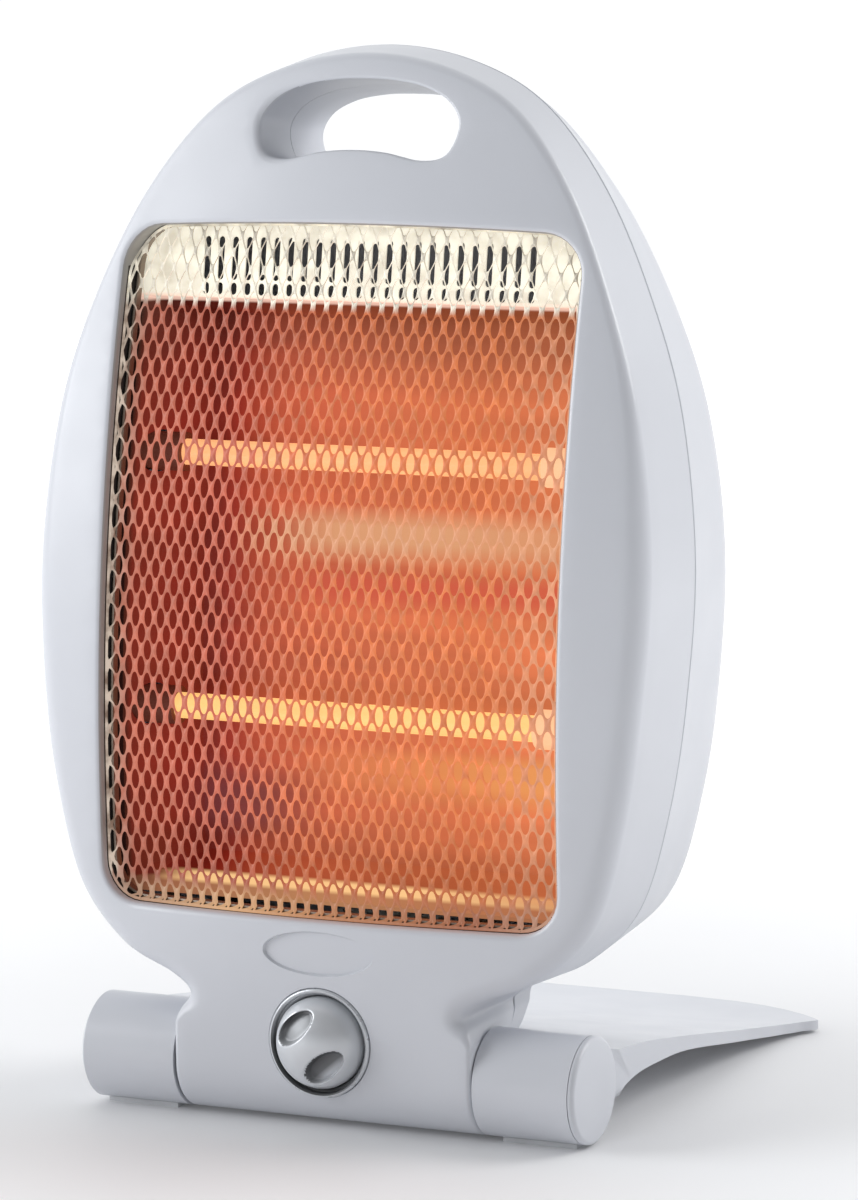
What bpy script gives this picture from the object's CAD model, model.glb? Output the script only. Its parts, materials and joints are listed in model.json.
"""Looks of a two-tube quartz heater with an egg-shaped head on a tilting barrel stand.

Lengths are in millimetres unless a name says otherwise, in the heater's own frame: x to the right,
y to the rear and w upwards, with the hinge axis at y = w = 0. place() turns them into the row frame.
"""

import json
import math

import bmesh
import bpy
import numpy as np
from mathutils import Matrix, Vector
from mathutils.geometry import delaunay_2d_cdt


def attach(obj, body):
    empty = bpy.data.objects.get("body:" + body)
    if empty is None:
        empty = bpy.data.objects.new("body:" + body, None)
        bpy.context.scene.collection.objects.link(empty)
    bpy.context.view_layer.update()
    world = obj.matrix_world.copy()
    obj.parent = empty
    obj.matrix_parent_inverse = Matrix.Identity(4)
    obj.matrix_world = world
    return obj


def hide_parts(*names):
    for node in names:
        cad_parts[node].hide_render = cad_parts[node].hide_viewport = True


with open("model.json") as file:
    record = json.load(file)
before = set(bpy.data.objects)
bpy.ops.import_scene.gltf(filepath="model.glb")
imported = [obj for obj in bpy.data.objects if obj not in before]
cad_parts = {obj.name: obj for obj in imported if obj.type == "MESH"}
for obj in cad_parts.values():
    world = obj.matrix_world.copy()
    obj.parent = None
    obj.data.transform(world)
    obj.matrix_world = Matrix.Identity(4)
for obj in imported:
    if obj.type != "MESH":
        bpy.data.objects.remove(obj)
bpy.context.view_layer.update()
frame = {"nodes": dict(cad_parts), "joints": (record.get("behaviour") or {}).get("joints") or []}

MM = 0.001
HINGE = np.array(frame["joints"][0]["pos_m"])
KNOB_UP = frame["joints"][1]["pos_m"][2] / MM - HINGE[2] / MM

# ---- Sizes of the head ----
HALF_W, TALL = 127.2, 382.0
BARREL_R, BARREL_HALF = 20.5, 62.3
EGG = [(-0.267, 0.986), (0, 1), (0.267, 0.986), (0.503, 0.945), (0.70, 0.864), (0.849, 0.759), (0.951, 0.649),
       (1, 0.51), (0.983, 0.38), (0.936, 0.267), (0.849, 0.168), (0.692, 0.113), (0.519, 0.088)]
NECK = [(57.6, 27.2), (60.4, 21.3), (BARREL_HALF, 16), (BARREL_HALF, 8)]
BEND_UP = 104.0
CROWN = 0.00089
WALL = 2.2
SEAM_GAP = 0.35
QUARTER = np.radians((0, 22.5, 45, 67.5, 90))              # steps of a rounded edge
WINDOW = dict(half=95.0, low=60.0, tall=256.0, radius=15.0, arch=3.0)
BEZEL_BACK = 20.0
GRIP_UP, GRIP_Y, GRIP_DROP = 345.2, 28.0, math.radians(10.5)    # the tunnel's floor at a depth, and its slope
GRIP = [(-10, 27.3), (0, 27.5), (12, 27), (25, 24.6), (36, 19.2), (41.5, 10.4), (38, -1), (28, -3.6),
        (13, -0.8), (0, 0), (-13, -0.8)]
LOGO_UP, LOGO_HALF = 47.8, (22.75, 8.25)
DISH_R = 21.0
UNDER = (20.0, 12.0, 28.4)               # depth, height and slope in degrees of the rear shell's underside
SCREWS = [(-103.5, 176.9), (103.5, 176.9), (-66.1, 333.1), (66.1, 333.1)]
GLAND = (70.0, 66.0, 8.3)                # the cord outlet's place and radius


def local(point):
    """A point of the row frame in the heater's own frame."""
    return (np.array(point) - HINGE) / MM


def xyz(x, y, w):
    return np.stack([x, y, w], 1)


def angles(n):
    """n equal steps once round."""
    return np.arange(n) * 2 * math.pi / n


def at_depth(loop, y):
    """The (x, w) points of a loop at their depths y."""
    return xyz(loop[:, 0], y, loop[:, 1])


def smooth(t):
    t = np.clip(t, 0, 1)
    return t * t * (3 - 2 * t)


def face_line(w):
    return -BARREL_R - 2 * smooth(w / BEND_UP) + 0.00074 * np.maximum(w - BEND_UP, 0) ** 2


def face_y(x, w):
    return face_line(w) + CROWN * smooth(w / 60) * x * x


def seam_y(w):
    return (27 + 0.07 * w) * smooth(w / 30)


def back_y(x, w):
    rise = w - 205
    return 101 - np.where(rise > 0, 0.00098, 0.0004) * rise ** 2 - 0.0006 * x * x


def spline(points, n):
    """A smooth curve through the points from the second to the last but one."""
    p = np.array(points, float)
    t = np.arange(n)[:, None] / n
    spans = [0.5 * (2 * b + (c - a) * t + (2 * a - 5 * b + 4 * c - d) * t ** 2
                    + (3 * b - a - 3 * c + d) * t ** 3)
             for a, b, c, d in zip(p[:-3], p[1:-2], p[2:-1], p[3:])]
    return np.vstack(spans + [p[-2:-1]])


def normals(loop, closed):
    """The outward direction at each point of a loop that runs clockwise."""
    ahead, behind = np.roll(loop, -1, 0), np.roll(loop, 1, 0)
    if not closed:
        ahead[-1], behind[0] = loop[-1], loop[0]
    d = ahead - behind
    n = np.stack([-d[:, 1], d[:, 0]], 1)
    return n / np.linalg.norm(n, axis=1)[:, None]


def circle(cx, cy, rx, ry, n):
    a = angles(n)
    return np.stack([cx + rx * np.cos(a), cy + ry * np.sin(a)], 1)


def window_loop(grow, step=8):
    """The window's outline, grown outwards by grow."""
    half, low = WINDOW["half"] + grow, WINDOW["low"] - grow
    top, r = WINDOW["low"] + WINDOW["tall"] + grow, WINDOW["radius"] + grow
    points = []
    for cx, cy, start in ((half - r, low + r, -90), (half - r, top - r, 0), (-half + r, top - r, 90),
                          (-half + r, low + r, 180)):
        for k in range(step + 1):
            a = math.radians(start + 90 * k / step)
            points.append((cx + r * math.cos(a), cy + r * math.sin(a)))
    points = refine(np.array(points), 4.0)
    high = smooth((points[:, 1] - 200) / 60)
    points[:, 1] += high * WINDOW["arch"] * (1 - (points[:, 0] / WINDOW["half"]) ** 2)
    return points


def refine(loop, step):
    """A closed loop with extra points where its sides are long."""
    out = []
    for a, b in zip(loop, np.roll(loop, -1, 0)):
        n = max(1, round(float(np.linalg.norm(b - a)) / step))
        out += [a + (b - a) * k / n for k in range(n)]
    return np.array(out)


def grown(loop, d):
    """A closed loop moved outwards by d."""
    n = normals(loop, True)
    area = np.sum(loop[:, 0] * np.roll(loop[:, 1], -1) - np.roll(loop[:, 0], -1) * loop[:, 1])
    return loop + (n if area < 0 else -n) * d


def inside(points, loop):
    """Whether each point lies inside the closed loop."""
    x, y = points[:, :1], points[:, 1:]
    a, b = loop, np.roll(loop, -1, 0)
    crosses = (a[:, 1] > y) != (b[:, 1] > y)
    with np.errstate(divide="ignore", invalid="ignore"):
        at = a[:, 0] + (y - a[:, 1]) * (b[:, 0] - a[:, 0]) / (b[:, 1] - a[:, 1])
    return (np.sum(crosses & (x < at), 1) % 2) == 1


class Sheet:
    """A surface put together from fields and strips, in millimetres."""

    def __init__(self):
        self.points, self.faces = [], []

    def add(self, points):
        start = len(self.points)
        self.points += [tuple(map(float, p)) for p in points]
        return list(range(start, len(self.points)))

    def strip(self, a, b, closed=False):
        n = len(a)
        for i in range(n if closed else n - 1):
            j = (i + 1) % n
            self.faces.append((a[i], a[j], b[j], b[i]))

    def rings(self, first, rings, closed=False):
        """Strips from the ring of indices first through each ring of points; returns the last ring."""
        for ring in rings:
            new = self.add(ring)
            self.strip(first, new, closed)
            first = new
        return first

    def hoops(self, rings, joined=False):
        """Closed rings of points joined one to the next and, if joined, the last to the first."""
        index = [self.add(ring) for ring in rings]
        for a, b in zip(index, index[1:] + index[:1] * joined):
            self.strip(a, b, True)
        return index

    def field(self, outer, holes, kept, spacing, surface, rows=None):
        """Fills the loop outer, apart from the holes, with triangles. kept loops become edges, rows are
        extra points. Returns the indices of outer and of each hole."""
        loops = [outer] + holes + kept
        flat, edges = [], []
        for loop in loops:
            start = len(flat)
            flat += list(loop)
            edges += [(start + i, start + (i + 1) % len(loop)) for i in range(len(loop))]
        lo, hi = outer.min(0), outer.max(0)
        levels = np.arange(lo[1], hi[1], spacing * 0.866)
        grid = np.array([(x + (spacing / 2 if k % 2 else 0), y) for k, y in enumerate(levels)
                         for x in np.arange(lo[0], hi[0], spacing)])
        points = np.array(flat)
        for group, room in ((rows, 1.3), (grid, 0.55 * spacing)):
            if group is None:
                continue
            keep = inside(group, outer)
            for hole in holes:
                keep &= ~inside(group, hole)
            group = group[keep]
            near = np.array([np.min(np.sum((points - g) ** 2, 1)) for g in group])
            points = np.vstack([points, group[near > room ** 2]])
        given = [Vector(p) for p in points]
        out, _, tris, origin, _, _ = delaunay_2d_cdt(given, edges, [], 0, 1e-5)
        out = np.array([tuple(p) for p in out])
        tris = np.array([t for t in tris if len(t) == 3])
        mid = out[tris].mean(1)
        keep = inside(mid, outer)
        for hole in holes:
            keep &= ~inside(mid, hole)
        index = self.add(surface(out))
        self.faces += [tuple(index[i] for i in t) for t in tris[keep]]
        where = {i: n for n, group in enumerate(origin) for i in group}
        result, start = [], 0
        for loop in loops:
            result.append([index[where[start + i]] for i in range(len(loop))])
            start += len(loop)
        return result[0], result[1:1 + len(holes)]

    def build(self, name, outward, thick=0.0, sharp=35):
        """The sheet as an object in the row frame. outward(centre, normal) is positive where a normal
        points the right way."""
        mesh = bpy.data.meshes.new(name)
        mesh.from_pydata((np.array(self.points) * MM + HINGE).tolist(), [], self.faces)
        bm = bmesh.new()
        bm.from_mesh(mesh)
        bmesh.ops.remove_doubles(bm, verts=bm.verts, dist=0.02 * MM)
        bmesh.ops.dissolve_degenerate(bm, edges=bm.edges, dist=0.005 * MM)
        loose = [v for v in bm.verts if not v.link_faces]
        bmesh.ops.delete(bm, geom=loose, context="VERTS")
        bmesh.ops.recalc_face_normals(bm, faces=bm.faces)
        score = sum(outward(local(f.calc_center_median()), np.array(f.normal)) * f.calc_area()
                    for f in bm.faces)
        if score < 0:
            bmesh.ops.reverse_faces(bm, faces=bm.faces)
        bm.to_mesh(mesh)
        bm.free()
        obj = bpy.data.objects.new(name, mesh)
        bpy.context.scene.collection.objects.link(obj)
        if thick:
            two_places(mesh)
            solid = obj.modifiers.new("thickness", "SOLIDIFY")
            solid.thickness, solid.offset, solid.use_even_offset = thick * MM, -1, False
            solid.material_offset = 1                      # its inner side takes the lining
        bake_modifiers(obj)
        shade(obj, sharp)
        return obj


def two_places(mesh):
    """Leaves places for a first and a second material, which finish_piece fills."""
    for _ in range(2):
        mesh.materials.append(None)


def faces_of(piece):
    """Each face of a piece, with its centre in the heater's own frame."""
    return [(face, *local(face.center)) for face in piece.data.polygons]


def second_finish(piece, where):
    """Gives the faces for which where(x, y, w) holds the second of two materials."""
    two_places(piece.data)
    for face, x, y, w in faces_of(piece):
        face.material_index = int(where(x, y, w))
    return piece


def bake_modifiers(obj):
    bpy.context.view_layer.update()
    graph = bpy.context.evaluated_depsgraph_get()
    mesh = bpy.data.meshes.new_from_object(obj.evaluated_get(graph))
    obj.modifiers.clear()
    old, obj.data = obj.data, mesh
    bpy.data.meshes.remove(old)
    obj.data.name = obj.name


def shade(obj, angle):
    obj.data.polygons.foreach_set("use_smooth", [True] * len(obj.data.polygons))
    obj.data.set_sharp_from_angle(angle=math.radians(angle))


def finish_piece(obj, body, nodes, material, lining=None):
    """Gives a piece its material, body, replaced nodes and slot. lining is its second material."""
    if len(obj.data.materials) == 2:
        obj.data.materials[0], obj.data.materials[1] = material, lining or material
    else:
        obj.data.materials.clear()
        obj.data.materials.append(material)
    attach(obj, body)
    for node in nodes:
        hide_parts(node)
    return obj


# ---- Materials ----
def add_node(tree, kind, values, **settings):
    """A shader node with its settings, and its inputs linked to a node's output or set to a value."""
    node = tree.nodes.new("ShaderNode" + kind)
    for name, value in settings.items():
        setattr(node, name, value)
    for name, value in values.items():
        feed(tree, node.inputs[name], value)
    return node


def feed(tree, socket, value):
    if hasattr(value, "node"):
        tree.links.new(value, socket)
    else:
        socket.default_value = (*value, 1) if socket.type == "RGBA" else value


class Shader:
    """A node material built step by step. Colours are linear RGB."""

    def __init__(self, name):
        self.material = bpy.data.materials.new(name)
        self.material.use_nodes = True
        self.tree = self.material.node_tree
        self.tree.nodes.clear()
        self.bsdf = self.node("BsdfPrincipled", {})
        self.node("OutputMaterial", {"Surface": self.bsdf.outputs[0]})
        self.where = self.node("TexCoord", {}).outputs["Object"]

    def node(self, kind, values, **settings):
        return add_node(self.tree, kind, values, **settings)

    def set(self, **values):
        for name, value in values.items():
            feed(self.tree, self.bsdf.inputs[name.replace("_", " ")], value)
        return self

    def axis(self, name):
        return self.node("SeparateXYZ", {0: self.where}).outputs[name]

    def noise(self, scale, detail=2.0, stretch=None):
        where = self.where
        if stretch:
            where = self.node("Mapping", {"Vector": where, "Scale": stretch}).outputs[0]
        return self.node("TexNoise", {"Vector": where, "Scale": scale, "Detail": detail}).outputs["Fac"]

    def ramp(self, value, stops):
        """Colours or greys over value, from the stops [(place, colour or number)]."""
        lo, hi = stops[0][0], stops[-1][0]
        share = self.node("MapRange", {"Value": value, "From Min": lo, "From Max": hi}).outputs["Result"]
        node = self.node("ValToRGB", {"Fac": share})
        ramp = node.color_ramp
        while len(ramp.elements) < len(stops):
            ramp.elements.new(0.5)
        for element, (place, colour) in zip(ramp.elements, stops):
            element.position = (place - lo) / (hi - lo)
            element.color = (*(colour if isinstance(colour, tuple) else (colour,) * 3), 1)
        return node.outputs["Color"]

    def dot(self, direction):
        """Distance along a direction."""
        node = self.node("VectorMath", {0: self.where, 1: direction}, operation="DOT_PRODUCT")
        return node.outputs["Value"]

    def length(self):
        """Distance from the object's origin."""
        return self.node("VectorMath", {0: self.where}, operation="LENGTH").outputs["Value"]

    def mix(self, factor, a, b, kind="MIX"):
        """Sockets 0, 6 and 7 of the node are the factor and the two colours, output 2 the colour."""
        return self.node("Mix", {0: factor, 6: a, 7: b}, data_type="RGBA", blend_type=kind).outputs[2]

    def times(self, a, b):
        return self.mix(1.0, a, b, "MULTIPLY")

    def bump(self, height, strength, distance):
        values = {"Height": height, "Strength": strength, "Distance": distance * MM}
        return self.set(Normal=self.node("Bump", values).outputs[0])


def varied(name, colour, spread, scale, rough, grain=None, **values):
    """A material whose colour wanders a little round colour, and its gloss round rough. grain is the
    scale, strength and depth of its bumps."""
    s = Shader(name)
    low, high = (tuple(min(1, c * share) for c in colour) for share in (1 - spread, 1 + spread))
    s.set(Base_Color=s.ramp(s.noise(scale, 3), [(0.3, low), (0.7, high)]),
          Roughness=s.ramp(s.noise(scale * 3), [(0.3, rough * 0.85), (0.7, rough * 1.15)]), **values)
    if grain:
        s.bump(s.noise(grain[0]), *grain[1:])
    return s


SHELL_GREY = (0.60, 0.615, 0.66)
FINE, CLAY = (900, 0.2, 0.05), (1500, 0.25, 0.06)          # grains
housing = varied("housing_plastic", SHELL_GREY, 0.012, 14, 0.34, (900, 0.06, 0.05),
                 Specular_IOR_Level=0.5, Coat_Weight=0.15, Coat_Roughness=0.2).material
steel = varied("plated_steel", (0.62, 0.62, 0.63), 0.06, 60, 0.32, (700, 0.1, 0.05), Metallic=1.0).material
rim_metal = varied("rim_metal", (0.26, 0.21, 0.17), 0.12, 60, 0.42, (700, 0.1, 0.05), Metallic=0.5).material
brass = varied("brass", (0.72, 0.52, 0.22), 0.06, 60, 0.3, (700, 0.1, 0.04), Metallic=1.0).material
silver = varied("silver_plastic", (0.62, 0.64, 0.67), 0.03, 60, 0.33, Metallic=0.3).material
bright = varied("bright_plating", (0.58, 0.60, 0.63), 0.04, 60, 0.3, Metallic=0.4).material
dark_plastic = varied("dark_plastic", (0.03, 0.03, 0.033), 0.15, 40, 0.5, FINE).material
shade_paint = varied("inner_wall", (0.02, 0.016, 0.015), 0.15, 60, 0.7, FINE).material
nylon = varied("nylon", (0.72, 0.7, 0.64), 0.04, 50, 0.5, (800, 0.15, 0.05)).material
rubber = varied("rubber", (0.022, 0.022, 0.024), 0.2, 60, 0.7, (1200, 0.3, 0.06)).material
pad = varied("pale_rubber", (0.6, 0.61, 0.63), 0.1, 60, 0.7, (1200, 0.3, 0.06)).material
sleeve = varied("braided_sleeve", (0.62, 0.58, 0.5), 0.08, 400, 0.85, (1600, 0.5, 0.15)).material
ceramic = varied("ceramic", (0.2, 0.07, 0.045), 0.1, 80, 0.7, CLAY).material
glowing_ceramic = varied("glowing_ceramic", (0.4, 0.3, 0.2), 0.1, 80, 0.7, CLAY,
                         Emission_Color=(0.85, 0.5, 0.27), Emission_Strength=0.9).material


def shaded(name, stops, grain, **values):
    """The housing's plastic with its tone changing over the height above the floor."""
    s = Shader(name)
    s.set(Base_Color=s.ramp(s.axis("Z"), stops), **values)
    if "Roughness" not in values:
        s.set(Roughness=s.ramp(s.noise(60), [(0.3, 0.42), (0.7, 0.58)]))
    return s.bump(s.noise(grain[0]), *grain[1:]).material


# the handle's tunnel, in shade at its top, and the wall between the face and the guard, pale at its foot
tunnel_housing = shaded("tunnel_housing", [(0.372, SHELL_GREY), (0.393, (0.34, 0.35, 0.38))],
                        (900, 0.06, 0.05), Roughness=0.4, Coat_Weight=0.15, Coat_Roughness=0.2)
wall_grey = shaded("bezel_wall", [(0.083, SHELL_GREY), (0.110, (0.33, 0.33, 0.32))], FINE)


# ---- Front shell ----
def surface(points, depth=0.0):
    """The front of the head at (x, v): v is the height above the hinge axis, or, below it, the way
    down round the barrel. depth goes inwards."""
    x, v = points[:, 0], points[:, 1]
    a = np.maximum(-v, 0) / BARREL_R
    r = BARREL_R - depth
    y = np.where(v >= 0, face_y(x, np.maximum(v, 0)) + depth, -r * np.cos(a))
    return xyz(x, y, np.where(v >= 0, v, -r * np.sin(a)))


def head_outline(lower):
    """The right half of the egg from its top to the given lower points."""
    return spline([(x * HALF_W, w * TALL) for x, w in EGG] + lower, 10)


FOOT = -BARREL_R * math.pi / 2          # the front shell's lower edge, along the way round the barrel
right = head_outline(NECK)
right = np.vstack([right, [(BARREL_HALF, v) for v in np.linspace(14, FOOT, 20)]])
outline = np.vstack([right[:0:-1] * (-1, 1), right])     # from lower left over the top to lower right
heading = normals(outline, False)
heading[0], heading[-1] = (-1, 0), (1, 0)
firm = smooth((outline[:, 1] - 16) / 14)                  # 0 on the barrel, 1 on the egg
crisp = 1 - 0.85 * smooth((outline[:, 1] - 190) / 110)   # the face's edge is tighter towards the top
EDGE_IN, EDGE_DEEP = 2 + 6 * firm * crisp, 2 + 5 * firm * crisp
FLARE = 2.0                             # how far the shells swell from the face's edge to the seam
LIP, CHAMFER = 0.45, 0.4                # the shells' edge at the seam
WINDOW_ROUND, LOGO_STEP, LOGO_DEEP = 2.4, 0.3, 1.3


def grip_loop():
    """The handle hole's outline, with its heights above the tunnel's leaning floor."""
    half = spline(GRIP, 6)
    left = half[(half[:, 0] > 0.01)][::-1] * (-1, 1)
    return np.vstack([half, left]) * (1, 1 / math.cos(GRIP_DROP))


def floor_up(y):
    """Height of the handle tunnel's floor at the depth y."""
    return GRIP_UP - math.tan(GRIP_DROP) * (y - GRIP_Y)


def grip_on(y_of):
    """The handle hole's outline in (x, w) where it meets the surface y_of(x, w)."""
    loop = grip_loop()
    on = loop + (0, GRIP_UP)
    for _ in range(8):
        on[:, 1] = loop[:, 1] + floor_up(y_of(on[:, 0], on[:, 1]))
    return on


def tunnel(start, side):
    """Rings of the handle tunnel's wall from the ring start to the seam between the shells."""
    loop = grip_loop()
    end = seam_y(grip_on(lambda x, w: seam_y(w))[:, 1]) + side * SEAM_GAP / 2
    rings = []
    for t in (0.5, 1):
        y = start[:, 1] + (end - start[:, 1]) * t
        rings.append(xyz(loop[:, 0], y, loop[:, 1] + floor_up(y)))
    return rings


def leaning(ring, depth):
    """A ring of the handle hole's rounded edge, lowered as the tunnel drops over the depth."""
    return ring - np.outer(depth, (0, 0, math.tan(GRIP_DROP)))


def dish_loop(r):
    """A circle round the knob on the front of the head, in (x, v)."""
    loop = circle(0, KNOB_UP, r, r, 72)
    low = loop[:, 1] < 0
    loop[low, 1] = -BARREL_R * np.arcsin(np.minimum(-loop[low, 1] / BARREL_R, 1))
    return loop


def front_shell():
    s = Sheet()
    inner = outline - heading * EDGE_IN[:, None]
    foot = np.array([(x, FOOT) for x in np.linspace(inner[-1, 0], inner[0, 0], 36)[1:-1]])
    outer = np.vstack([inner, foot])
    fillet = WINDOW_ROUND
    grip = grip_on(face_y)
    soft = (1.1 + 1.9 * smooth((-grip[:, 0] - 18) / 22))[:, None]     # rounder at the hole's left end
    step = [circle(0, LOGO_UP, LOGO_HALF[0] + g, LOGO_HALF[1] + g, 96) for g in (LOGO_STEP, -LOGO_STEP)]
    holes = [window_loop(fillet), grown(grip, soft), dish_loop(DISH_R + 0.5)]

    def face(points):
        on_step = np.min([np.sum((points - q) ** 2, 1) for q in step[1]], 0) < 1e-4
        return surface(points, np.where(inside(points, step[1]) | on_step, LOGO_DEEP, 0.0))

    edge, (window, handle, dish) = s.field(outer, holes, step, 4.0, face)
    band = edge[:len(inner)]
    w = np.where(outline[:, 1] >= 0, outline[:, 1], BARREL_R * np.sin(outline[:, 1] / BARREL_R))
    rings = [surface(outline - heading * EDGE_IN[:, None] * (1 - math.cos(a)), EDGE_DEEP * (1 - math.sin(a)))
             for a in np.radians((75, 60, 45, 30, 15, 0))]
    turned = rings[-1]
    low = outline[:, 1] < 0
    out = firm[:, None] * heading
    end = xyz(outline[:, 0] + FLARE * out[:, 0], seam_y(w), w + FLARE * out[:, 1])
    end[low] = xyz(outline[low, 0], np.zeros(low.sum()), turned[low, 2])
    end[:, 1] -= SEAM_GAP / 2
    for t in (0.25, 0.5, 0.75):
        rings.append(turned + (end - turned) * t)
    lip = end - (0, LIP, 0)
    lip[:, 1] = np.maximum(lip[:, 1], turned[:, 1])
    s.rings(band, rings + [lip, end - CHAMFER * at_depth(out, 0 * w)])

    # window: rounded edge, then the bezel's wall
    rings = [surface(window_loop(fillet * (1 - math.sin(a))), fillet * (1 - math.cos(a)))
             for a in QUARTER[1:]]
    base = window_loop(0)
    back = face_line(base[:, 1]) + BEZEL_BACK
    for t in (0.15, 0.4, 0.7, 1):
        wall = rings[3].copy()
        wall[:, 1] += (back - wall[:, 1]) * t
        rings.append(wall)
    s.rings(window, rings, True)

    # handle hole: rounded edge, then the tunnel to the seam
    rings = []
    for a in np.radians((18, 36, 54, 72, 90)):
        depth = soft[:, 0] * (1 - math.cos(a))
        rings.append(leaning(surface(grown(grip, soft * (1 - math.sin(a))), depth), depth))
    s.rings(handle, rings + tunnel(rings[4], -1), True)

    # seat of the dish
    rim = surface(dish_loop(DISH_R + 0.2), 0.35)
    deep = rim.copy()
    deep[:, 1] = -15.5
    s.rings(dish, [rim, deep], True)
    return s.build("front_shell_skin", lambda c, n: -n[1], thick=WALL)


# ---- Rear shell ----
REAR_TAPER, REAR_ROUND = 1.0, 18.0       # draft of the rear shell's side, and its rounding
REAR_HALF = BARREL_HALF - 0.3            # just inside the front shell's barrel
LOUVRE, LOUVRE_T = 13, 4.6               # spacing and width of the louvres
WELL_R, WELL_DEEP, SCREW_R = 3.4, 8, 1.85
rear_right = head_outline([(57.6, 27.2), (60.2, 21.3), (REAR_HALF, 16), (REAR_HALF, 8)])
rear_right = np.vstack([rear_right, [(REAR_HALF, v) for v in (10, 5, 0)]])
rear_loop = np.vstack([rear_right[:0:-1] * (-1, 1), rear_right])
rear_out = normals(rear_loop, False)
rear_out[0], rear_out[-1] = (-1, 0), (1, 0)


def rear_inset(a):
    return REAR_TAPER + REAR_ROUND * (1 - math.cos(a))


def rounded_back(x, w):
    """Depth of the rear shell's surface with its rounded edge, at (x, w) inside the outline."""
    points = np.stack([x, w], 1)
    p, q = rear_loop[:-1], rear_loop[1:]
    along = q - p
    t = np.einsum("nmk,mk->nm", points[:, None] - p, along) / np.sum(along ** 2, 1)
    gap = points[:, None] - p - along * np.clip(t, 0, 1)[:, :, None]
    inset = np.sqrt(np.min(np.sum(gap ** 2, 2), 1))
    turn = np.clip(1 - (inset - REAR_TAPER) / REAR_ROUND, 0, 1)
    y = back_y(x, w)
    return y - np.clip(0.6 * (y - seam_y(w)), 0, REAR_ROUND) * (1 - np.sqrt(1 - turn ** 2))


def rear_shell():
    s = Sheet()
    loop, out = rear_loop, rear_out
    swell = FLARE * smooth((loop[:, 1] - 16) / 14)

    def at(inset, y_of):
        q = loop - out * inset
        return at_depth(q, y_of(q))

    def turned(a):
        q = loop - out * rear_inset(a)
        y = back_y(q[:, 0], q[:, 1])
        deep = np.clip(0.6 * (y - seam_y(q[:, 1])), 0, REAR_ROUND)
        return at_depth(q, y - deep * (1 - math.sin(a)))

    first = math.radians(40)
    inner = loop - out * rear_inset(first)
    foot = np.array([(x, 0) for x in np.linspace(inner[-1, 0], inner[0, 0], 20)[1:-1]])
    rows = np.vstack([loop - out * rear_inset(a) for a in np.radians((50, 60, 70, 80, 90))])
    slots = [slot_loop(i * LOUVRE, 230 - 0.8 * i * i, 274 - 0.8 * i * i, LOUVRE_T) for i in range(-5, 6)]
    slots += [slot_loop(i * LOUVRE, 101 + 0.4 * i * i, 131, LOUVRE_T) for i in range(-4, 5)]
    grip, fillet = grip_on(rounded_back), 1.5
    wells = [circle(x, w, WELL_R, WELL_R, 20) for x, w in SCREWS]
    cord = circle(GLAND[0], GLAND[1], GLAND[2], GLAND[2], 28)
    holes = [grown(grip, fillet)] + wells + [cord] + slots
    edge, loops = s.field(np.vstack([inner, foot]), holes, [], 5.0,
                          lambda p: at_depth(p, rounded_back(p[:, 0], p[:, 1])), rows)
    start = at(-swell[:, None], lambda q: seam_y(q[:, 1]) + SEAM_GAP / 2)
    bend = turned(0)
    rings = [turned(a) for a in np.radians((30, 20, 10))] + [bend]
    lip = start + (0, LIP, 0)
    rings += [bend + (lip - bend) * t for t in (0.33, 0.66)] + [lip]
    rings.append(at(CHAMFER - swell[:, None], lambda q: seam_y(q[:, 1]) + SEAM_GAP / 2))
    s.rings(edge[:len(inner)], rings)

    rings = []
    for a in np.radians((30, 60, 90)):
        q = grown(grip, fillet * (1 - math.sin(a)))
        rings.append(at_depth(q, rounded_back(q[:, 0], q[:, 1]) - fillet * (1 - math.cos(a))))
    s.rings(loops[0], rings + tunnel(rings[2], 1), True)
    for (x, w), well in zip(SCREWS, loops[1:5]):
        y = float(back_y(x, w)) - WELL_DEEP
        s.rings(well, [at_depth(circle(x, w, r, r, 20), np.full(20, y)) for r in (WELL_R, SCREW_R)], True)
    obj = s.build("rear_shell_skin", lambda c, n: n[1] if c[1] > 80 else 0.0)
    cut_under(obj)
    return thicken(obj, WALL)


def slot_loop(x, low, high, wide):
    """An upright slot with round ends."""
    r = wide / 2
    a = np.radians(np.arange(0, 181, 30))
    top = np.stack([x + r * np.cos(a), high - r + r * np.sin(a)], 1)
    foot = np.stack([x - r * np.cos(a), low + r - r * np.sin(a)], 1)
    return refine(np.vstack([top, foot]), 6)


def cut_under(obj):
    """Cuts the rear shell along its sloped underside and closes the cut."""
    y, w, tilt = UNDER
    point = Vector(np.array((0, y, w)) * MM + HINGE)
    down = Vector((0, math.sin(math.radians(tilt)), -math.cos(math.radians(tilt))))
    bm = bmesh.new()
    bm.from_mesh(obj.data)
    cut = bmesh.ops.bisect_plane(bm, geom=bm.verts[:] + bm.edges[:] + bm.faces[:], dist=1e-6, plane_co=point,
                                 plane_no=down, clear_outer=True)["geom_cut"]
    edges = [e for e in cut if isinstance(e, bmesh.types.BMEdge)]
    ends = [v for v in cut if isinstance(v, bmesh.types.BMVert)
            and sum(e in edges for e in v.link_edges) == 1]
    if len(ends) == 2:
        edges.append(bm.edges.new(ends))
    bmesh.ops.triangle_fill(bm, use_beauty=True, use_dissolve=False, edges=edges, normal=down)
    bmesh.ops.recalc_face_normals(bm, faces=bm.faces)
    back = max(bm.faces, key=lambda f: f.calc_center_median().y)
    if back.normal.y < 0:
        bmesh.ops.reverse_faces(bm, faces=bm.faces)
    bm.to_mesh(obj.data)
    bm.free()


def thicken(obj, thick):
    solid = obj.modifiers.new("thickness", "SOLIDIFY")
    solid.thickness, solid.offset = thick * MM, -1
    bake_modifiers(obj)
    shade(obj, 35)
    return obj


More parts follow.
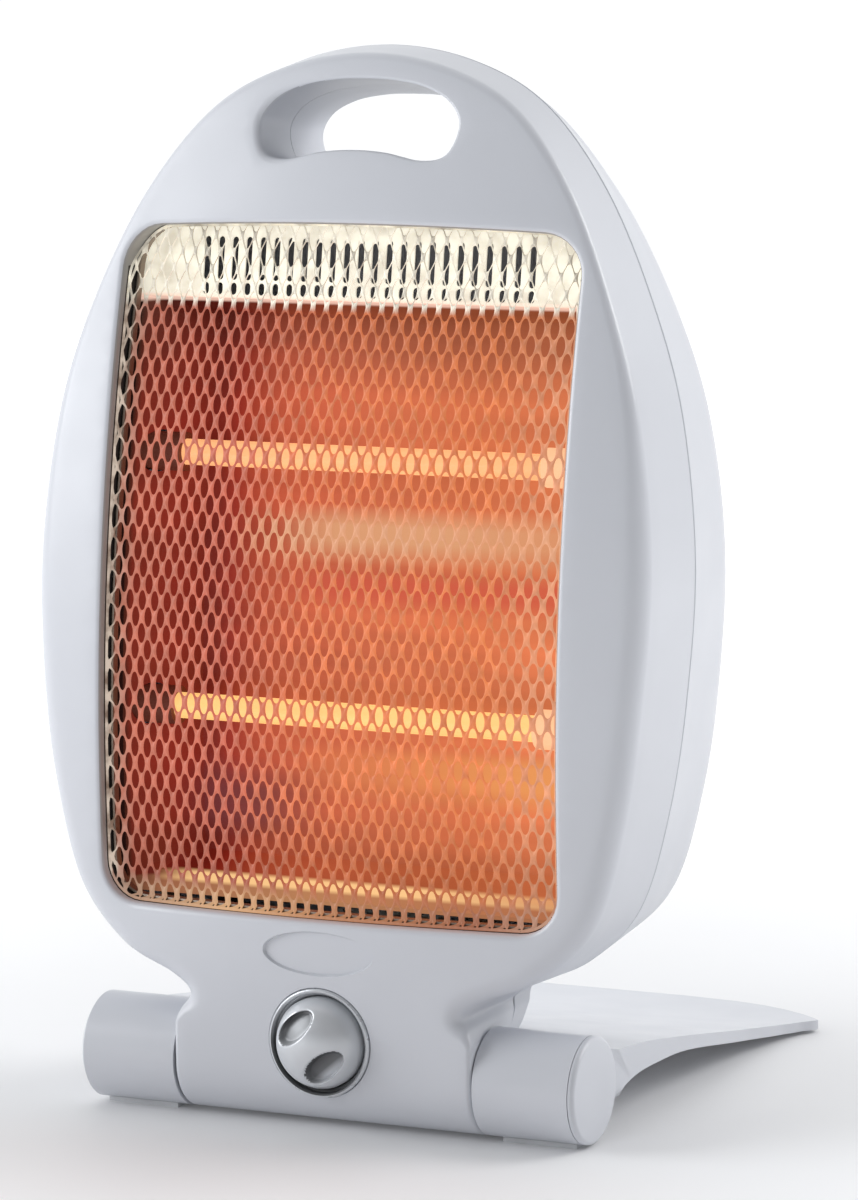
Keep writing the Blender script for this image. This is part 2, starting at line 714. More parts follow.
def rear_barrel():
    """The rear half of the hinge barrel, with its end walls."""
    s = Sheet()
    arc = np.radians(np.linspace(46, -90, 40))
    ends = [(BARREL_HALF - 2 * (1 - math.sin(a)), BARREL_R - 2 * (1 - math.cos(a))) for a in QUARTER]
    sections = [(-x, r) for x, r in ends[::-1]] + [(x, BARREL_R) for x in (-45, 0, 45)] + ends
    lines = [s.add([(x, r * math.cos(a) + 0.001, r * math.sin(a)) for a in arc]) for x, r in sections]
    for a, b in zip(lines, lines[1:]):
        s.strip(a, b)
    for line, x in ((lines[0], -BARREL_HALF), (lines[-1], BARREL_HALF)):
        rim = np.array([s.points[i] for i in line])
        seam = np.where(rim[:, 2] > 0, seam_y(rim[:, 2]), 0) + SEAM_GAP / 2
        s.strip(line, s.add([(x, min(y, p[1]), p[2]) for p, y in zip(rim, seam)]))
    return s.build("rear_barrel", lambda c, n: n[1] * c[1] + n[2] * c[2], thick=WALL)


# ---- Guard: expanded metal on a dome ----
DOME_R, GUARD_BACK, RIM_DEEP = 640.0, 9.0, 4.0
FLANGE_IN = 4.4                          # the guard's folded edge ends this far behind the face
FOLD_STEEP, FOLD_TOP = 1.35, 298.0       # the fold's slope, and the height from which it fades away
WIDE_TOP, WIDER = 284.0, 0.22            # the cells are wider above this height and along the margin
CELL = (5.75, 12.5)
STRAND, STRAND_T = 2.1, 1.1


def dome_y(x, w):
    middle = face_line(BEND_UP) + GUARD_BACK + DOME_R
    return middle - np.sqrt(DOME_R ** 2 - x ** 2 - (w - BEND_UP) ** 2)


def guard():
    """A lattice of cells on the dome; its margin is folded forward along the bezel's wall."""
    s = Sheet()
    edge = window_loop(-1.5)
    a, b = CELL[0] / 2, CELL[1] / 2
    cols, lines = int(WINDOW["half"] / a / 2) + 5, int(WINDOW["tall"] / 4 / b) + 3
    middle = WINDOW["low"] + WINDOW["tall"] / 2
    corner = [(1, 0), (0.5, 0.5), (0, 1), (-0.5, 0.5), (-1, 0), (-0.5, -0.5), (0, -1), (0.5, -0.5)]
    rim = np.array(corner) * (a, b)
    long_in, wide_in = b - STRAND * 1.15, a - STRAND * 0.56
    t = angles(16)                       # a cell's opening is a diamond with softened corners
    hole = np.stack([np.sign(np.cos(t)) * np.abs(np.cos(t)) ** 0.95 * wide_in,
                     np.sign(np.sin(t)) * np.abs(np.sin(t)) ** 1.15 * long_in], 1)
    rim16 = np.stack([rim, (rim + np.roll(rim, -1, 0)) / 2], 1).reshape(-1, 2)

    def lift(points, deep):
        near = clamp(points, edge)
        out = points - near
        over = np.hypot(out[:, 0], out[:, 1])
        away = out / np.maximum(over, 1e-6)[:, None]
        folded = over > 1e-6
        y = dome_y(near[:, 0], near[:, 1])
        reach = (y - face_y(near[:, 0], near[:, 1]) - FLANGE_IN) * (1 - smooth((near[:, 1] - FOLD_TOP) / 12))
        ahead = np.minimum(over * FOLD_STEEP, reach)
        return xyz(near[:, 0] + away[:, 0] * deep, y - ahead + np.where(folded, 0, deep),
                   near[:, 1] + away[:, 1] * deep)

    centres = [(i * 2 * a + shift * a, middle + j * 2 * b + shift * b) for shift in (0, 1)
               for i in range(-cols, cols + 1) for j in range(-lines, lines + 1)]
    kept = inside(np.array(centres), window_loop(12))
    margin = ~inside(np.array(centres), window_loop(-2))
    for centre, good, at_edge in zip(centres, kept, margin):
        if not good:
            continue
        wider = 1 + WIDER * max(smooth((centre[1] - WIDE_TOP) / 8), float(at_edge))
        outer = rim16 + centre
        inner = hole * wider + centre
        mid = outer + (inner - outer) * 0.5
        s.hoops([lift(outer, 0.0), lift(mid, 0.12), lift(inner, 0.6), lift(outer, STRAND_T)])

    def outward(c, n):
        return -n[1] if c[1] < dome_y(c[0], c[2]) + 0.4 and abs(c[0]) < 85 else 0.0

    return s.build("guard_mesh", outward, sharp=50)


def clamp(points, loop):
    """The points, those outside the loop moved to its nearest point."""
    out = ~inside(points, loop)
    points = points.copy()
    for k in np.nonzero(out)[0]:
        d = np.sum((loop - points[k]) ** 2, 1)
        i = int(np.argmin(d))
        best, gap = loop[i], d[i]
        for j in (i - 1, (i + 1) % len(loop)):
            e = loop[j] - loop[i]
            t = np.clip(np.dot(points[k] - loop[i], e) / np.dot(e, e), 0, 1)
            q = loop[i] + e * t
            if np.sum((q - points[k]) ** 2) < gap:
                best, gap = q, np.sum((q - points[k]) ** 2)
        points[k] = best
    return points


def guard_rim():
    """The turned strip that holds the guard's edge."""
    s = Sheet()
    outer, inner = window_loop(-0.35), window_loop(-1.55)
    rows = [(outer, 0.4), (outer, RIM_DEEP), (inner, RIM_DEEP), (inner, 0.4), (window_loop(-0.95), 0.05)]
    s.hoops([at_depth(q, dome_y(q[:, 0], q[:, 1]) + d) for q, d in rows], True)
    return s.build("guard_rim_strip", lambda c, n: -n[1] if c[1] < dome_y(c[0], c[2]) + 0.5 else 0.0,
                   sharp=50)


# ---- Reflector ----
TRAY = dict(lip=27.0, deep=57.0, half=95.0, back_half=76.0, low=62.0, back_low=72.0, fold=288.5,
            back_top=280.0)
LIP_HALF = 99.0
FLANGE_TOP, FLANGE_HALF, FLANGE_LEAN = 316.5, 92.0, 6.2
SLOT_PITCH, SLOT_T, SLOTS = 5.94, 2.8, 24
EARS = (100.0, 270.0)                    # heights of the ears that the tray is screwed by


def tray_y(points):
    x, w = np.abs(points[:, 0]), points[:, 1]
    t = TRAY
    side = (t["half"] - x) / (t["half"] - t["back_half"])
    low = (w - t["low"]) / (t["back_low"] - t["low"])
    top = (t["fold"] - w) / (t["fold"] - t["back_top"])
    share = np.clip(np.minimum(np.minimum(side, low), top), 0, 1)
    y = face_line(np.minimum(w, t["fold"])) + t["lip"] + (t["deep"] - t["lip"]) * share
    return y + np.maximum(w - t["fold"], 0) / FLANGE_LEAN


def reflector():
    s = Sheet()
    t = TRAY

    def frame_loop(half, low, top, step):
        return refine(np.array([(half, low), (half, top), (-half, top), (-half, low)]), step)

    side = [(LIP_HALF, t["low"] - 1.5), (LIP_HALF, t["fold"]), (FLANGE_HALF, FLANGE_TOP)]
    outer = refine(np.array(side + [(-x, w) for x, w in side[::-1]]), 6)
    creases = [frame_loop(t["half"], t["low"], t["fold"], 5),
               frame_loop(t["back_half"], t["back_low"], t["back_top"], 5)]
    slots = []
    for i in range(SLOTS):
        x = (i - (SLOTS - 1) / 2) * SLOT_PITCH
        slots += [slot_loop(x, 289.7, 294.4, SLOT_T), slot_loop(x, 295.3, 311.8, SLOT_T)]
    share = (TUBE_BACK - t["lip"]) / (t["deep"] - t["lip"])
    slope = (t["half"] - t["back_half"]) / (t["deep"] - t["lip"])
    hole_x = t["half"] - share * (t["half"] - t["back_half"])
    holes = [circle(side * hole_x, w, TUBE_HOLE_R * slope, TUBE_HOLE_R, 32)
             for w in (LOWER_TUBE, UPPER_TUBE) for side in (-1, 1)]
    s.field(outer, slots + holes, creases, 5.0, lambda p: at_depth(p, tray_y(p)))
    for side in (-1, 1):
        for w in EARS:
            y = float(face_line(w)) + t["lip"]
            s.faces.append(tuple(s.add([(side * x, y, w + v) for x, v in
                                        ((LIP_HALF - 2, -6), (111, -6), (111, 6), (LIP_HALF - 2, 6))])))
    return s.build("reflector_tray", lambda c, n: -n[1], thick=0.9, sharp=20)


# ---- Tubes and coils ----
LOWER_TUBE, UPPER_TUBE, TUBE_BACK = 132.0, 229.0, 38.0
TUBE_R, TUBE_HALF, TUBE_HOLE_R = 5.0, 86.0, 8
CURLS, CURL_R, COIL_HALF, WIRE_R, LEAD_END = 56, 3.2, 74.0, 0.55, 88.0


def tube(name, w):
    s = Sheet()
    y = float(face_line(w)) + TUBE_BACK
    turn = angles(32)
    profile = [(-TUBE_HALF, TUBE_R - 1), (-TUBE_HALF, TUBE_R), (TUBE_HALF, TUBE_R), (TUBE_HALF, TUBE_R - 1)]
    s.hoops([[(x, y + r * math.cos(a), w + r * math.sin(a)) for a in turn] for x, r in profile], True)
    return s.build(name, lambda c, n: n[1] * (c[1] - y) + n[2] * (c[2] - w)
                   if math.hypot(c[1] - y, c[2] - w) > TUBE_R - 0.5 else 0.0)


def wire_tube(path, r, sides):
    """A round wire along a path of points."""
    s = Sheet()
    path = np.array(path)
    ahead = np.gradient(path, axis=0)
    ahead /= np.linalg.norm(ahead, axis=1)[:, None]
    up = np.array((1, 0, 0.001))
    rings = []
    for p, t in zip(path, ahead):
        u = np.cross(t, up if abs(t @ up) < 0.98 else (0, 1, 0))
        u /= np.linalg.norm(u)
        v = np.cross(t, u)
        rings.append([p + r * (u * math.cos(a) + v * math.sin(a)) for a in angles(sides)])
    first = s.add(rings[0])
    last = s.rings(first, rings[1:], True)
    s.faces += [tuple(first), tuple(last[::-1])]
    return s


def coil(name, w, per=16):
    """A wound wire with straight ends; per is the number of points in one curl."""
    y = float(face_line(w)) + TUBE_BACK
    path = [(-LEAD_END, y, w), (-COIL_HALF - 4, y, w)]
    for k in range(CURLS * per + 1):
        a = 2 * math.pi * k / per
        along = COIL_HALF * (2 * k / (CURLS * per) - 1)
        path.append((along, y + CURL_R * math.cos(a), w + CURL_R * math.sin(a)))
    path += [(COIL_HALF + 4, y, w), (LEAD_END, y, w)]
    return wire_tube(path, WIRE_R, 8).build(name, lambda c, n: 1.0)


# ---- Knob and dish ----
KNOB_R, KNOB_BASE, KNOB_TOP, KNOB_DOME = 17.5, 16.0, 33.0, 21.0
SCOOP = dict(tilt=math.radians(40), long=9.6, wide=4.9, off=9.2, deep=3.6)


def off_scoop(x, w):
    """Distance from the middle of the nearer scoop: 1 on its rim. x and w start at the knob's axis."""
    along = x * math.cos(SCOOP["tilt"]) + w * math.sin(SCOOP["tilt"])
    across = w * math.cos(SCOOP["tilt"]) - x * math.sin(SCOOP["tilt"])
    return np.sqrt((along / SCOOP["long"]) ** 2 + ((abs(across) - SCOOP["off"]) / SCOOP["wide"]) ** 2)


def knob():
    s = Sheet()
    radii = np.concatenate([np.linspace(0.4, KNOB_R - 1, 52), [KNOB_R - 0.5, KNOB_R - 0.15, KNOB_R]])
    turns = angles(144)

    def ring(r, drop=0.0):
        x, w = r * np.cos(turns), r * np.sin(turns)
        z = KNOB_TOP - KNOB_DOME + np.sqrt(KNOB_DOME ** 2 - (x * x + w * w))
        z = z - SCOOP["deep"] * (1 - smooth((off_scoop(x, w) - 0.74) / 0.26))
        return xyz(x, drop - z, w + KNOB_UP)

    first = s.add(ring(radii[0]))
    s.faces.append(tuple(first))
    rings = [ring(r, 2.4 * max((r - 14.5) / 3, 0) ** 2) for r in radii[1:]]
    low = rings[-1].copy()
    low[:, 1] = -KNOB_BASE
    inner = (low - (0, 0, KNOB_UP)) * (0.93, 1, 0.93) + (0, 0, KNOB_UP)
    last = s.rings(first, rings + [low, inner], True)
    s.faces.append(tuple(last[::-1]))
    cap = s.build("knob_cap", lambda c, n: -n[1] if c[1] < -22 else 0.0, sharp=50)
    return second_finish(cap, lambda x, y, w: off_scoop(x, w - KNOB_UP) ** 2 < 0.9 and y < -KNOB_BASE)


def dish():
    """A cup turned about the knob's axis: a rounded lip and a bowl with its own finish inside."""
    s = Sheet()
    half_turn = np.radians((0, 30, 60, 90, 120, 150, 180))
    profile = [(3.5, 13), (DISH_R, 13)]
    profile += [(DISH_R - 0.9 + 0.9 * math.cos(a), 20.6 + 0.9 * math.sin(a)) for a in half_turn]
    profile += [(DISH_R - 1.9 - 1.3 * math.sin(a), 17.2 + 1.8 * math.cos(a)) for a in half_turn[:4]]
    profile += [(17.8, 14.5), (3.5, 14.5)]
    a = angles(96)
    s.hoops([[(r * math.cos(t), -z, KNOB_UP + r * math.sin(t)) for t in a] for r, z in profile], True)
    cup = s.build("knob_dish_cup", lambda c, n: -n[1] if c[1] < -18 else 0.0)
    return second_finish(cup, lambda x, y, w: y < -14 and math.hypot(x, w - KNOB_UP) < DISH_R - 0.9)


# ---- Stand ----
STAND_IN, STAND_HALF = 62.9, 104.3
CAP_T = 2.5
PLATE_TOP = [(0, 12), (8, 12), (24, 10.5), (45, 8.5), (70, 4.5), (102, -1.1), (149, -9.6), (190, -15.6),
             (227, -17.8), (250, -18.6)]
PLATE_UNDER = [(10, -7.5), (20, -7.5), (28, -4.3), (42, -2.4), (62, -2.6), (81, -3.6), (102, -6.4),
               (149, -14.2), (190, -19.5), (227, -21.1), (250, -21.4)]
# plan of the plate: its side over the depth, then its rear edge over the width
PLAN_SIDE = [(0, 104.3), (149.8, 104.3), (165.7, 105.6), (181.6, 107.6), (193, 110.6), (199.3, 114.3),
             (201.1, 114.5)]
PLAN_REAR = [(0, 227), (46.9, 227), (65.7, 225.6), (82, 222), (95, 216.3), (105, 210), (111.6, 204.5),
             (114.5, 201.1)]
NOTCH_Y = 48.0


def heights(points, n=12):
    """A smooth height over y through the points."""
    curve = spline(points, n)
    return lambda y: np.interp(y, curve[:, 0], curve[:, 1])


plate_top, plate_under = heights(PLATE_TOP), heights(PLATE_UNDER)


def plate_end(x):
    """Depth of the plate's rear edge on the line that leaves the notch at x."""
    return float(np.interp(abs(x) / STAND_HALF * PLAN_REAR[-1][0], *zip(*PLAN_REAR)))


def plate_x(x, y):
    """Where the line that leaves the notch at x runs at the depth y."""
    return x / STAND_HALF * np.interp(y, *zip(*PLAN_SIDE))


def stand():
    s = Sheet()
    xs = [0, 20, 41.5, STAND_IN, STAND_IN + 6] + list(np.linspace(76, 102, 9)) + [103.4, STAND_HALF]
    xs = sorted(set([-x for x in xs] + xs))
    share = np.concatenate([np.linspace(0, 0.9, 40), np.linspace(0.9, 1, 8)[1:]])
    top, under = {}, {}
    for x in xs:
        y = NOTCH_Y + (plate_end(x) - NOTCH_Y) * share
        top[x] = s.add(xyz(plate_x(x, y), y, plate_top(y)))
        under[x] = s.add(xyz(plate_x(x, y), y, plate_under(y)))
    for a, b in zip(xs, xs[1:]):
        s.strip(top[a], top[b])
        s.strip(under[b], under[a])
        s.faces.append((top[a][-1], top[b][-1], under[b][-1], under[a][-1]))
    for x in (xs[0], xs[-1]):
        s.strip(top[x], under[x])
    # the barrels, their profile running on from the plate's top and underside at the notch
    join_top, join_low = (math.degrees(math.asin(w / BARREL_R)) for w in (11.2, -7.2))
    arc = [(BARREL_R * math.cos(a), BARREL_R * math.sin(a))
           for a in np.radians(np.linspace(join_top + 4, 360 + join_low - 4, 72))]
    lead_in = [(y, float(plate_top(y))) for y in np.linspace(NOTCH_Y, 22.5, 10)[1:]]
    lead_out = [(y, float(plate_under(y))) for y in np.linspace(22.0, NOTCH_Y, 10)[:-1]]
    profile = lead_in + arc + lead_out
    for side in (-1, 1):
        lines = []
        for x in sorted([x for x in xs if side * x >= STAND_IN], key=abs):
            limit = min(abs(x), STAND_HALF - CAP_T - 0.25) * side
            index = s.add([(limit if y * y + w * w < (BARREL_R + 0.2) ** 2 and y < 21.5 else x, y, w)
                           for y, w in profile])
            lines.append([top[x][0]] + index + [under[x][0]])
        for a, b in zip(lines, lines[1:]):
            s.strip(a, b)
        s.faces.append(tuple(lines[0]))
        s.faces.append(tuple(lines[-1][::-1]))
    for a, b in zip(xs, xs[1:]):
        if abs(a) <= STAND_IN and abs(b) <= STAND_IN:
            s.faces.append((top[a][0], top[b][0], under[b][0], under[a][0]))
    return s.build("stand_moulding", lambda c, n: n[2] if c[2] > plate_top(c[1]) - 0.5 and c[1] > 60 else 0.0)


def end_cap(name, side, rounding):
    s = Sheet()
    a = angles(96)
    r, x1, x0, e = BARREL_R, STAND_HALF, STAND_HALF - CAP_T, rounding
    profile = [(x0, 4.0), (x0, r - 0.12), (x0 + 0.12, r)]
    profile += [(x1 - e + e * math.sin(t), r - e + e * math.cos(t)) for t in QUARTER]
    profile += [(x1, r * 0.5)]
    index = s.hoops([[(side * x, q * math.cos(t), q * math.sin(t)) for t in a] for x, q in profile])
    s.faces += [tuple(index[0][::-1]), tuple(index[-1])]
    return s.build(name, lambda c, n: side * n[0] if side * c[0] > x1 - 0.2 else 0.0)


# ---- Warm materials of the heating field, their places in metres of the row frame ----
def hump(a, b, c, d, high=1.0):
    """Stops that rise to high between a and b and fall again between c and d."""
    return [(a, 0.0), (b, high), (c, high), (d, 0.0)]


def patched(s, glow, patches):
    """The glow with patches over it, each from its share over the height and the width, and its colour."""
    for heights, widths, colour in patches:
        glow = s.mix(s.times(s.ramp(s.axis("Z"), heights), s.ramp(s.axis("X"), widths)), glow, colour)
    return glow


def guard_finish():
    """Expanded metal that carries the colours of the glow behind it, cream in front of the slotted flange."""
    s = Shader("guard_metal")
    up, side = s.axis("Z"), s.axis("X")
    glow = s.ramp(side, [(-0.095, (0.52, 0.15, 0.095)), (-0.041, (0.53, 0.115, 0.07)),
                         (-0.007, (0.70, 0.175, 0.062)), (0.03, (0.72, 0.19, 0.06)),
                         (0.065, (0.73, 0.20, 0.06)), (0.095, (0.74, 0.34, 0.19))])
    level = s.ramp(up, [(0.075, 0.6), (0.092, 0.62), (0.102, 0.72), (0.117, 0.9), (0.133, 1.0), (0.148, 1.0),
                        (0.166, 0.9), (0.184, 1.0), (0.214, 0.88), (0.228, 1.0), (0.263, 0.9), (0.276, 0.95),
                        (0.297, 0.75), (0.309, 0.7)])
    glow = s.times(s.times(glow, level), s.ramp(s.noise(170), [(0.3, 0.8), (0.7, 1.16)]))
    glow = patched(s, glow, [(hump(0.212, 0.222, 0.229, 0.238),
                              [(-0.045, 0.0), (-0.02, 0.75), (0.03, 0.8), (0.09, 0.5)], (0.66, 0.36, 0.2))])
    foot = s.ramp(up, [(0.080, 1.0), (0.087, 0.9), (0.092, 0.0)])
    gold = s.ramp(side, [(-0.095, (0.3, 0.2, 0.15)), (-0.04, (0.62, 0.38, 0.2)), (0.0, (0.42, 0.2, 0.1)),
                         (0.06, (0.3, 0.12, 0.07)), (0.095, (0.45, 0.28, 0.2))])
    glow = s.mix(foot, glow, gold)
    edge = s.ramp(side, [(-0.0935, 1.0), (-0.0925, 0.45), (-0.084, 0.0)])
    glow = s.mix(edge, glow, s.ramp(s.noise(140, 3), [(0.35, (0.16, 0.12, 0.09)), (0.6, (0.55, 0.47, 0.39))]))
    flange = s.ramp(up, [(0.3075, 0.0), (0.3105, 1.0)])
    pale = s.ramp(s.noise(90, 3), [(0.35, (0.12, 0.11, 0.09)), (0.62, (0.55, 0.52, 0.44))])
    s.set(Base_Color=s.mix(flange, (0.10, 0.045, 0.03), (0.6, 0.56, 0.48)), Metallic=0.1, Roughness=0.5,
          Emission_Color=s.mix(flange, glow, pale), Emission_Strength=1.0)
    return s.bump(s.noise(500), 0.1, 0.05).material


def reflector_finish():
    """Polished sheet lit by the tubes: deep red on the left wall, orange on the back, cream on the flange."""
    s = Shader("reflector_sheet")
    up, side = s.axis("Z"), s.axis("X")
    glow = s.ramp(side, [(-0.097, (0.004, 0.002, 0.002)), (-0.0945, (0.006, 0.003, 0.003)),
                         (-0.0935, (0.12, 0.009, 0.006)), (-0.077, (0.19, 0.009, 0.006)),
                         (-0.064, (0.24, 0.014, 0.007)), (-0.046, (0.42, 0.062, 0.024)),
                         (-0.03, (0.5, 0.088, 0.034)), (0.004, (0.53, 0.115, 0.043)),
                         (0.038, (0.57, 0.13, 0.045)), (0.063, (0.63, 0.155, 0.055)),
                         (0.095, (0.63, 0.17, 0.06))])
    corner = s.ramp(side, [(-0.083, 1.0), (-0.076, 0.62), (-0.071, 0.62), (-0.064, 1.0)])
    glow = patched(s, s.times(glow, corner), [
        (hump(0.098, 0.107, 0.118, 0.132), hump(-0.084, -0.07, -0.05, -0.02, 0.75), (0.11, 0.022, 0.028))])
    level = s.ramp(up, [(0.082, 0.5), (0.086, 0.6), (0.098, 0.72), (0.111, 0.98), (0.127, 1.15), (0.163, 0.9),
                        (0.1785, 1.1), (0.208, 0.93), (0.221, 1.02), (0.257, 1.02), (0.271, 0.97),
                        (0.291, 0.62), (0.3045, 0.3), (0.31, 0.25)])
    streak = s.ramp(s.noise(26, 3, (0.35, 1, 2.6)), [(0.3, 0.82), (0.7, 1.18)])
    glow = patched(s, s.times(s.times(glow, level), streak), [    # cream, red and amber bands on the back
        (hump(0.208, 0.217, 0.223, 0.231), [(-0.045, 0.0), (-0.02, 0.9), (0.03, 0.95), (0.09, 0.55)],
         (0.66, 0.33, 0.16)),
        (hump(0.190, 0.197, 0.202, 0.208), [(-0.045, 0.0), (-0.02, 0.75), (0.09, 0.75)], (0.56, 0.07, 0.035)),
        (hump(0.116, 0.126, 0.134, 0.140), [(-0.04, 0.0), (0.02, 0.5), (0.065, 0.85), (0.095, 0.5)],
         (0.76, 0.31, 0.085))])
    foot = s.ramp(up, [(0.0815, 1.0), (0.0862, 1.0), (0.0872, 0.0)])
    glow = s.mix(foot, glow, s.ramp(side, [(-0.099, (0.02, 0.006, 0.004)), (-0.08, (0.3, 0.12, 0.06)),
                                           (-0.02, (0.42, 0.2, 0.09)), (0.09, (0.35, 0.13, 0.06))]))
    glow = patched(s, glow, [(hump(0.0852, 0.0862, 0.0878, 0.0888),
                              [(-0.088, 0.0), (-0.07, 1.0), (0.02, 1.0), (0.09, 0.35)], (0.9, 0.56, 0.25))])
    flange = s.ramp(up, [(0.3095, 0.0), (0.3105, 1.0)])
    cream = s.ramp(s.noise(110, 3), [(0.35, (0.42, 0.39, 0.32)), (0.6, (0.7, 0.67, 0.56))])
    glow = s.mix(flange, glow, cream)
    glow = s.mix(s.ramp(up, hump(0.3075, 0.3088, 0.3105, 0.3115)), glow, (0.75, 0.5, 0.4))
    s.set(Base_Color=s.mix(flange, (0.08, 0.03, 0.02), (0.6, 0.58, 0.5)), Metallic=0.3, Roughness=0.4,
          Emission_Color=glow, Emission_Strength=1.0)
    return s.bump(s.noise(60, 2, (0.3, 1, 1)), 0.2, 0.4).material


def glowing(name, colour, scale, stretch=None, **values):
    """A lit tube or wire whose brightness wanders a little."""
    s = Shader(name)
    cloud = s.ramp(s.noise(scale, 2, stretch), [(0.3, 0.85), (0.7, 1.0)])
    return s.set(Emission_Color=s.times(colour, cloud), Emission_Strength=1.0, **values).material


def toned(name, degrees, stops):
    """Silver whose grey changes across the knob in one direction: stops in mm from the knob's axis."""
    s = Shader(name)
    turn = math.radians(degrees)
    middle = (KNOB_UP + HINGE[2] / MM) * math.sin(turn)
    stops = [((place + middle) * MM, (grey, grey * 1.03, grey * 1.08)) for place, grey in stops]
    tone = s.ramp(s.dot((math.cos(turn), 0, math.sin(turn))), stops)
    s.set(Base_Color=tone, Metallic=0.3, Roughness=0.4)
    return s.bump(s.noise(700), 0.05, 0.04).material


# ---- Build ----
WINDOW_AREA = dict(half=98, low=57, top=322, middle=190, lean=-20)
GRIP_AREA = dict(half=47, low=335, top=376, middle=358, lean=0)
TOP_WALL = 300                           # above this height the bezel's wall is grey to its back


def looking_in(piece, area):
    """The piece's faces behind the front face, in an area of the head, that look towards its middle."""
    for face, x, y, w in faces_of(piece):
        inward = face.normal.x * x + face.normal.z * (w - area["middle"]) < area["lean"]
        if inward and abs(x) < area["half"] and area["low"] < w < area["top"] and y - face_y(x, w) > 1:
            yield face, x, y, w


shell = finish_piece(front_shell(), "head", ["front_shell"], housing, shade_paint)
shell.data.materials.append(wall_grey)
shell.data.materials.append(tunnel_housing)
for face, x, y, w in looking_in(shell, WINDOW_AREA):       # grey in front of the guard's fold, dark behind it
    face.material_index = 2 if y - face_y(x, w) < FLANGE_IN + 0.5 or w > TOP_WALL else 1
rear = finish_piece(rear_shell(), "head", ["rear_shell"], housing)
rear.data.materials.append(tunnel_housing)
for piece, place in ((shell, 3), (rear, 1)):
    for face, x, y, w in looking_in(piece, GRIP_AREA):
        if face.material_index == 0 and y < back_y(x, w) - 1:
            face.material_index = place
finish_piece(rear_barrel(), "head", [], housing, shade_paint)
finish_piece(guard(), "head", ["guard"], guard_finish())
finish_piece(guard_rim(), "head", ["guard_rim"], rim_metal)
finish_piece(reflector(), "head", ["reflector"], reflector_finish(), steel)
for level, w, glass, wire in (("upper", UPPER_TUBE, (0.95, 0.46, 0.2), (1.3, 0.75, 0.36)),
                              ("lower", LOWER_TUBE, (0.98, 0.58, 0.2), (1.4, 0.95, 0.4))):
    quartz = glowing("quartz_" + level, glass, 120, (0.3, 1, 1), Base_Color=(0.35, 0.2, 0.12), Roughness=0.12,
                     Alpha=0.8)
    hot = glowing("coil_" + level, wire, 60, Base_Color=(0.3, 0.12, 0.05), Roughness=0.5)
    finish_piece(tube("quartz_" + level, w), "head", ["tube_" + level], quartz)
    finish_piece(coil("heating_coil_" + level, w), "head", ["coil_" + level], hot)
scoops = toned("scoop_finish", 130, [(-14.2, 0.8), (-11.6, 0.62), (-9.4, 0.17), (-4.2, 0.05), (4.2, 0.55),
                                     (7, 0.34), (11.5, 0.25), (14.2, 0.04)])
finish_piece(knob(), "knob", ["control_knob"], silver, scoops)
bowl = toned("bowl_finish", 55, [(-20, 0.05), (-12, 0.08), (-4, 0.3), (6, 0.55), (20, 0.5)])
finish_piece(dish(), "head", ["knob_dish"], bright, bowl)
finish_piece(stand(), "stand_body", ["stand"], housing)
finish_piece(end_cap("stand_cap_left", -1, 4.6), "stand_body", ["end_cap_left"], housing)
finish_piece(end_cap("stand_cap_right", 1, 1.9), "stand_body", ["end_cap_right"], housing)

CAD_FINISH = [
    (steel, "lamp_bracket_left lamp_bracket_right terminal_pins housing_screws reflector_screws switch_shaft "
            "hinge_pin_left hinge_pin_right hinge_nuts"),
    (dark_plastic, "thermal_cutout rotary_switch tip_switch hinge_bearing_left hinge_bearing_right"),
    (ceramic, "cap_upper_left cap_lower_left"), (glowing_ceramic, "cap_upper_right cap_lower_right"),
    (sleeve, "lead_common lead_upper lead_lower"), (nylon, "terminal_block"), (pad, "front_pads"),
    (rubber, "cord_gland rear_feet"), (brass, "friction_washers")]
for material, names in CAD_FINISH:
    for name in names.split():
        places = frame["nodes"][name].data.materials
        places.clear()
        places.append(material)

# ---- Stage, light and camera ----
AZIMUTH, ELEVATION, ROLL, DISTANCE = 25.60, 8.75, -0.90, 1.9517       # degrees and metres
LENS = 157.45
TARGET = Vector((0.03882, -0.097, 0.20271))
FLOOR_R = 3.0


def camera():
    az, el, roll = (math.radians(v) for v in (AZIMUTH, ELEVATION, ROLL))
    back = Vector((math.sin(az) * math.cos(el), -math.cos(az) * math.cos(el), math.sin(el)))
    side = Vector((math.cos(az), math.sin(az), 0))
    up = back.cross(side)
    right_axis = side * math.cos(roll) + up * math.sin(roll)
    up_axis = -side * math.sin(roll) + up * math.cos(roll)
    data = bpy.data.cameras.new("camera")
    data.lens, data.sensor_width, data.sensor_fit = LENS, 36, "AUTO"
    data.clip_start, data.clip_end = 0.05, 30
    obj = bpy.data.objects.new("camera", data)
    obj.matrix_world = Matrix.Translation(TARGET + back * DISTANCE) @ Matrix(
        (right_axis, up_axis, back)).transposed().to_4x4()
    bpy.context.scene.collection.objects.link(obj)
    bpy.context.scene.camera = obj


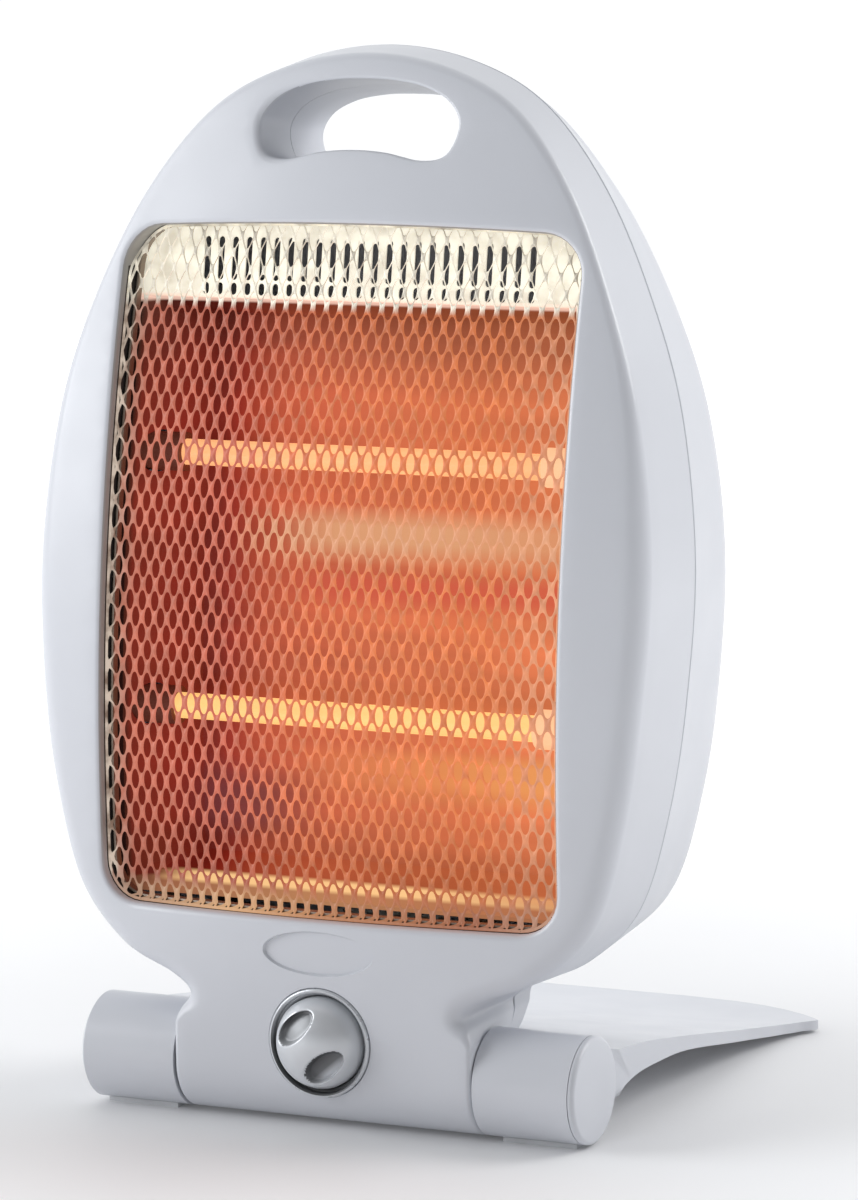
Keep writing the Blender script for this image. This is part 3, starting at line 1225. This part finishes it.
def area_light(name, at, aim, size, power, colour):
    data = bpy.data.lights.new(name, "AREA")
    data.shape, data.size, data.size_y, data.energy, data.color = "RECTANGLE", size[0], size[1], power, colour
    obj = bpy.data.objects.new(name, data)
    obj.location = at
    obj.rotation_euler = (Vector(aim) - Vector(at)).to_track_quat("-Z", "Y").to_euler()
    bpy.context.scene.collection.objects.link(obj)


def studio_world():
    """Soft surroundings: white behind the heater and along the horizon, dimmer high up in front of it."""
    world = bpy.data.worlds.new("studio")
    bpy.context.scene.world = world
    world.use_nodes = True
    tree = world.node_tree
    way = add_node(tree, "TexCoord", {}).outputs["Generated"]

    def share(direction, lo, hi, low, high):
        """Strength from low to high as the direction looked in turns towards the given one."""
        toward = add_node(tree, "VectorMath", {0: way, 1: direction}, operation="DOT_PRODUCT")
        ends = {"From Min": lo, "From Max": hi, "To Min": low, "To Max": high}
        values = {"Value": toward.outputs["Value"], **ends}
        return add_node(tree, "MapRange", values, interpolation_type="SMOOTHSTEP").outputs["Result"]

    behind = share((-0.42, 0.87, 0.25), -0.35, 0.7, 0.2, 1.04)
    horizon = share((0, 0, 1), 0.08, 0.3, 0.85, 0.0)
    both = add_node(tree, "Math", {0: behind, 1: horizon}, operation="MAXIMUM").outputs["Value"]
    feed(tree, tree.nodes["Background"].inputs["Strength"], both)
    feed(tree, tree.nodes["Background"].inputs["Color"], (0.98, 0.99, 1.0))


def stage():
    floor_mesh = bpy.data.meshes.new("floor")
    ring = [(x, y, 0) for x, y in circle(0, 0, FLOOR_R, FLOOR_R, 64)]
    floor_mesh.from_pydata(ring, [], [tuple(range(64))])
    floor = bpy.data.objects.new("floor", floor_mesh)
    bpy.context.scene.collection.objects.link(floor)
    pale = varied("pale_floor", (0.78, 0.78, 0.79), 0.01, 3, 0.6)
    reach = pale.ramp(pale.length(), [(0.15, 0.04), (0.5, 0.28), (1.2, 0.45), (3.0, 0.55)])
    pale.set(Emission_Color=reach, Emission_Strength=1.0)  # keeps the floor as bright far away as near
    floor.data.materials.append(pale.material)
    studio_world()
    area_light("key", (-1.76, -1.1, 0.93), (0, -0.05, 0.2), (1.3, 1.3), 27, (0.97, 0.985, 1))
    area_light("side", (1.4, 0.85, 1.25), (0, 0, 0.2), (1.0, 1.0), 17, (1, 1, 1))
    bpy.context.scene.view_settings.view_transform = "Standard"


camera()
stage()
